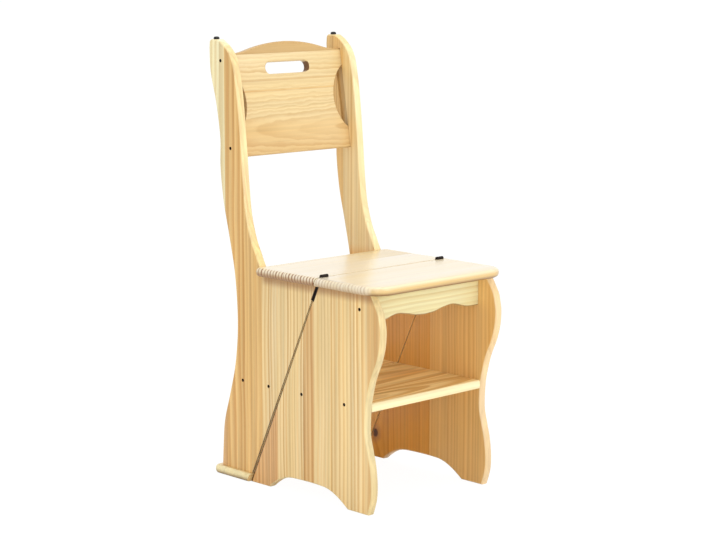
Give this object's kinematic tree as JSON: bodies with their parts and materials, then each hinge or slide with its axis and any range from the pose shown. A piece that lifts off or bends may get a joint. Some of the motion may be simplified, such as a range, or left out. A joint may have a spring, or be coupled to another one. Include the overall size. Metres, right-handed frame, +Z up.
{
  "type": "folding step stool chair",
  "caption": "Wooden side chair whose back half turns over on two hinges across the seat to make a step ladder.",
  "frame": {"origin": "on the floor, in the middle of the chair's bounding box", "axes": "+X to the right of someone who looks at the front, +Y to the rear, +Z up"},
  "size_m": [0.368, 0.499, 0.9],
  "materials": {
    "pine": "clear satin lacquer on knotty pine",
    "dowel": "plain beech",
    "hinge": "black coated steel",
    "screw": "dark zinc",
    "bumper": "matt black rubber"
  },
  "bodies": {
    "front": {"apron_screw_left": "screw", "apron_screw_right": "screw", "front_apron": "pine", "front_hinge_screw_left_1": "screw", "front_hinge_screw_left_2": "screw", "front_hinge_screw_right_1": "screw", "front_hinge_screw_right_2": "screw", "front_seat_dowel_left_1": "dowel", "front_seat_dowel_left_2": "dowel", "front_seat_dowel_right_1": "dowel", "front_seat_dowel_right_2": "dowel", "front_side_left": "pine", "front_side_right": "pine", "hinge_front_leaf_left": "hinge", "hinge_front_leaf_right": "hinge", "hinge_pin_left": "hinge", "hinge_pin_right": "hinge", "lower_step": "pine", "lower_step_screw_left_1": "screw", "lower_step_screw_left_2": "screw", "lower_step_screw_right_1": "screw", "lower_step_screw_right_2": "screw", "seat_front": "pine"},
    "back": {"back_side_left": "pine", "back_side_right": "pine", "backrest": "pine", "backrest_screw_left_1": "screw", "backrest_screw_left_2": "screw", "backrest_screw_right_1": "screw", "backrest_screw_right_2": "screw", "bumper_left": "bumper", "bumper_right": "bumper", "hinge_rear_leaf_left": "hinge", "hinge_rear_leaf_right": "hinge", "rear_hinge_screw_left_1": "screw", "rear_hinge_screw_left_2": "screw", "rear_hinge_screw_right_1": "screw", "rear_hinge_screw_right_2": "screw", "rear_seat_dowel_left_1": "dowel", "rear_seat_dowel_left_2": "dowel", "rear_seat_dowel_right_1": "dowel", "rear_seat_dowel_right_2": "dowel", "seat_rear": "pine", "top_step": "pine", "top_step_screw_left_1": "screw", "top_step_screw_left_2": "screw", "top_step_screw_right_1": "screw", "top_step_screw_right_2": "screw", "upper_step": "pine", "upper_step_screw_left_1": "screw", "upper_step_screw_left_2": "screw", "upper_step_screw_right_1": "screw", "upper_step_screw_right_2": "screw"}
  },
  "joints": [
    {"name": "back_turn", "type": "hinge", "parent": "front", "child": "back", "pos_m": [0, -0.0815, 0.45], "axis": [1, 0, 0], "range_deg": [0, 180]}
  ]
}
